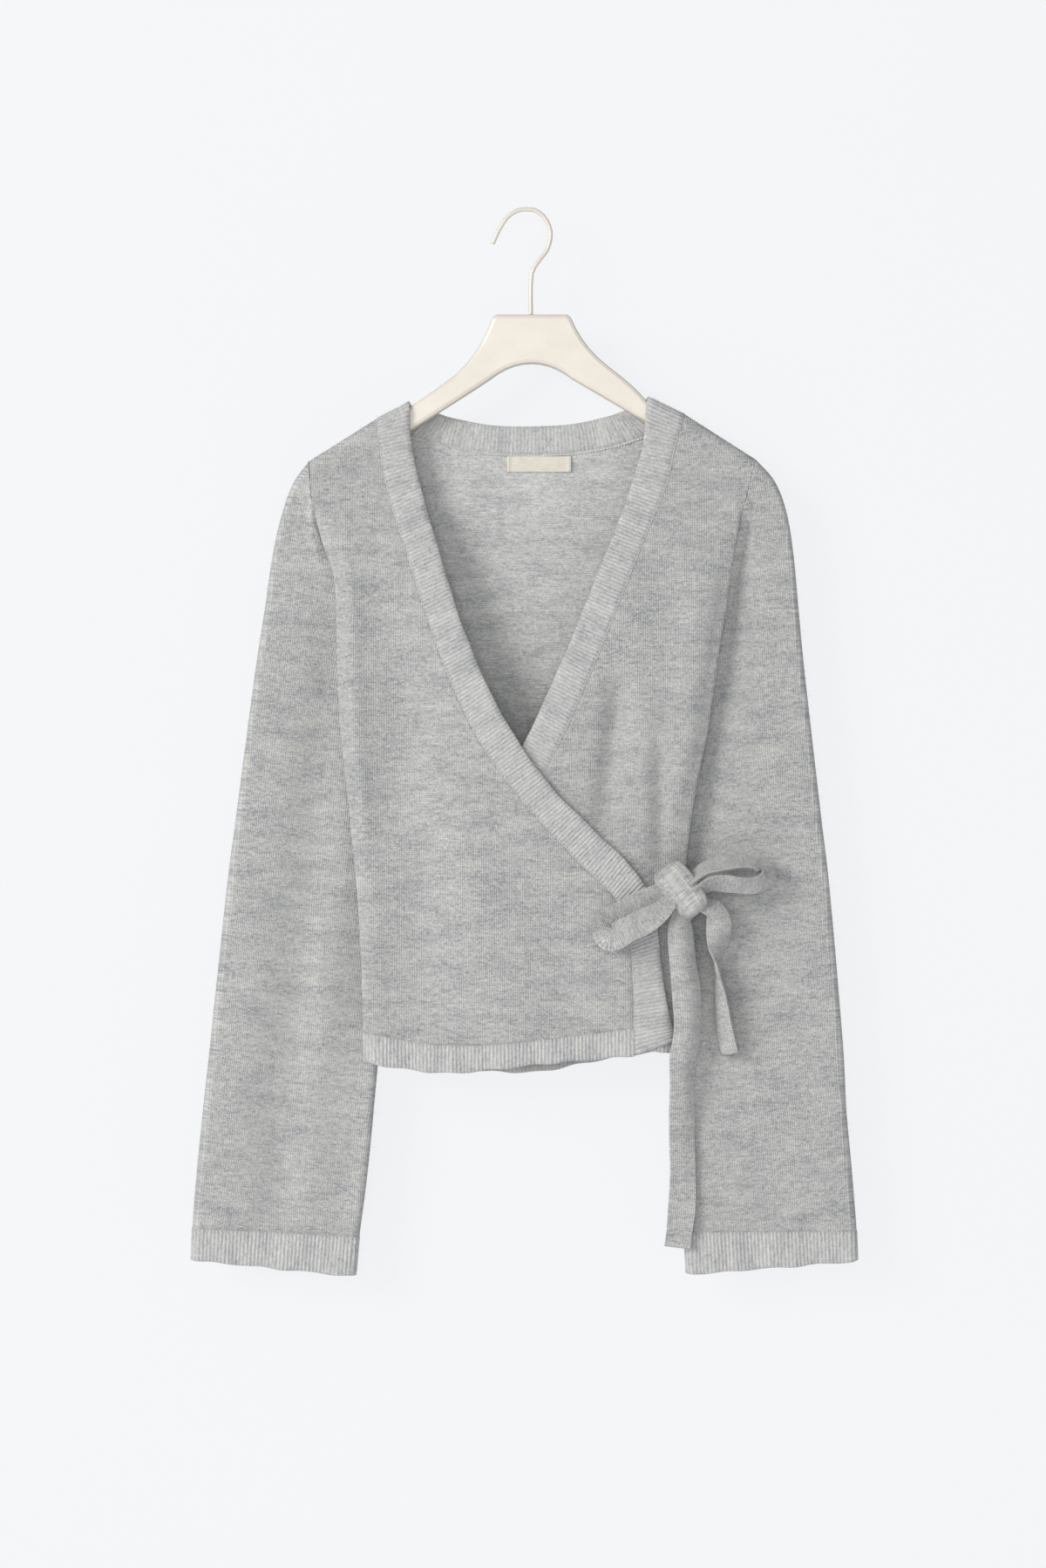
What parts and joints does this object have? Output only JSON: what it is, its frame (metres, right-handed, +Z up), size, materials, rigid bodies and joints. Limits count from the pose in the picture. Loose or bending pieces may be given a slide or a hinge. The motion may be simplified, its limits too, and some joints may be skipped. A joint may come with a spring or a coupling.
{
  "type": "wrap cardigan on a hanger",
  "caption": "Fine-knit wrap cardigan with a V neck, ribbed bands, wide sleeves and a bow tied at the side, hung flat on a painted hanger.",
  "frame": {"origin": "underside of the hook's crown, where the hanger rests on its rail", "axes": "+X to the viewer's right, -Y out of the cardigan's front, +Z up"},
  "size_m": [0.5222, 0.0591, 0.8361],
  "materials": {
    "knit": "brushed melange grey fine knit with a light fuzz",
    "rib": "the same yarn in a one by one rib",
    "woven": "plain woven cream tape",
    "paint": "satin cream paint over a moulded body and a wire hook"
  },
  "bodies": {
    "root": {"front_outer": "knit", "front_inner": "knit", "back": "knit", "sleeve_left": "knit", "sleeve_right": "knit", "tie_knot": "knit", "tie_loop_left": "knit", "tie_loop_right": "knit", "tie_tail_long": "knit", "tie_tail_short": "knit", "tie_root_band": "knit", "tie_root_side": "knit", "hem_front_outer": "rib", "hem_front_inner": "rib", "hem_back": "rib", "band_outer": "rib", "band_inner": "rib", "band_neck": "rib", "cuff_left": "rib", "cuff_right": "rib", "neck_label": "woven", "hanger_body": "paint", "hanger_hook": "paint"}
  },
  "joints": []
}
